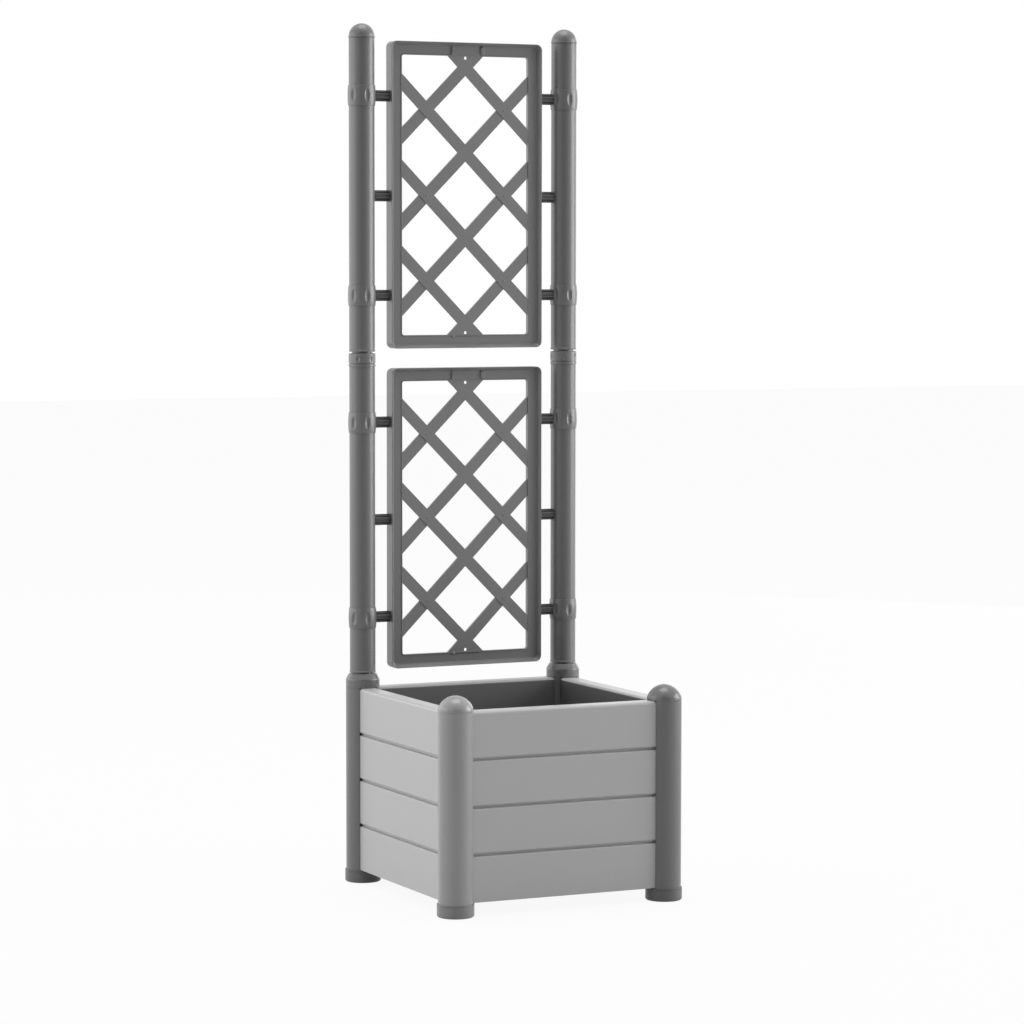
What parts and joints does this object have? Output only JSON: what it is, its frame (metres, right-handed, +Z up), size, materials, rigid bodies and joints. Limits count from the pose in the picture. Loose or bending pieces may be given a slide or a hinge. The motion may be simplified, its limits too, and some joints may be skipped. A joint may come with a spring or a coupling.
{
  "type": "planter with trellis",
  "caption": "Square free-standing planter box with board-look walls between round corner posts and a tall lattice trellis at the back.",
  "frame": {"origin": "middle of the footprint, on the floor under the feet", "axes": "+Z up, -Y towards the front wall, trellis on the +Y side, +X to the right seen from the front"},
  "size_m": [0.43, 0.43, 1.42],
  "materials": {
    "panel_plastic": "fine satin moulded plastic, mid grey",
    "post_plastic": "smooth satin plastic, dark grey",
    "trellis_plastic": "smooth satin plastic, dark grey",
    "fitting_plastic": "smooth satin plastic, dark grey",
    "base_plastic": "matt moulded plastic, near black"
  },
  "bodies": {
    "root": {"front_panel": "panel_plastic", "rear_panel": "panel_plastic", "left_panel": "panel_plastic", "right_panel": "panel_plastic", "base_plate": "base_plastic", "front_left_post": "post_plastic", "front_right_post": "post_plastic", "rear_left_post": "post_plastic", "rear_right_post": "post_plastic", "front_left_foot": "post_plastic", "front_right_foot": "post_plastic", "rear_left_foot": "post_plastic", "rear_right_foot": "post_plastic", "front_left_cap": "post_plastic", "front_right_cap": "post_plastic", "rear_left_collar": "post_plastic", "rear_right_collar": "post_plastic", "lower_left_tube": "post_plastic", "lower_right_tube": "post_plastic", "upper_left_tube": "post_plastic", "upper_right_tube": "post_plastic", "left_coupler": "fitting_plastic", "right_coupler": "fitting_plastic", "left_finial": "fitting_plastic", "right_finial": "fitting_plastic", "lower_left_ring_bottom": "fitting_plastic", "lower_left_ring_top": "fitting_plastic", "lower_right_ring_bottom": "fitting_plastic", "lower_right_ring_top": "fitting_plastic", "upper_left_ring_bottom": "fitting_plastic", "upper_left_ring_top": "fitting_plastic", "upper_right_ring_bottom": "fitting_plastic", "upper_right_ring_top": "fitting_plastic", "lower_trellis_frame": "trellis_plastic", "lower_rear_laths": "trellis_plastic", "lower_front_laths": "trellis_plastic", "upper_trellis_frame": "trellis_plastic", "upper_rear_laths": "trellis_plastic", "upper_front_laths": "trellis_plastic", "lower_left_pin_bottom": "fitting_plastic", "lower_left_pin_middle": "fitting_plastic", "lower_left_pin_top": "fitting_plastic", "lower_right_pin_bottom": "fitting_plastic", "lower_right_pin_middle": "fitting_plastic", "lower_right_pin_top": "fitting_plastic", "upper_left_pin_bottom": "fitting_plastic", "upper_left_pin_middle": "fitting_plastic", "upper_left_pin_top": "fitting_plastic", "upper_right_pin_bottom": "fitting_plastic", "upper_right_pin_middle": "fitting_plastic", "upper_right_pin_top": "fitting_plastic"}
  },
  "joints": []
}
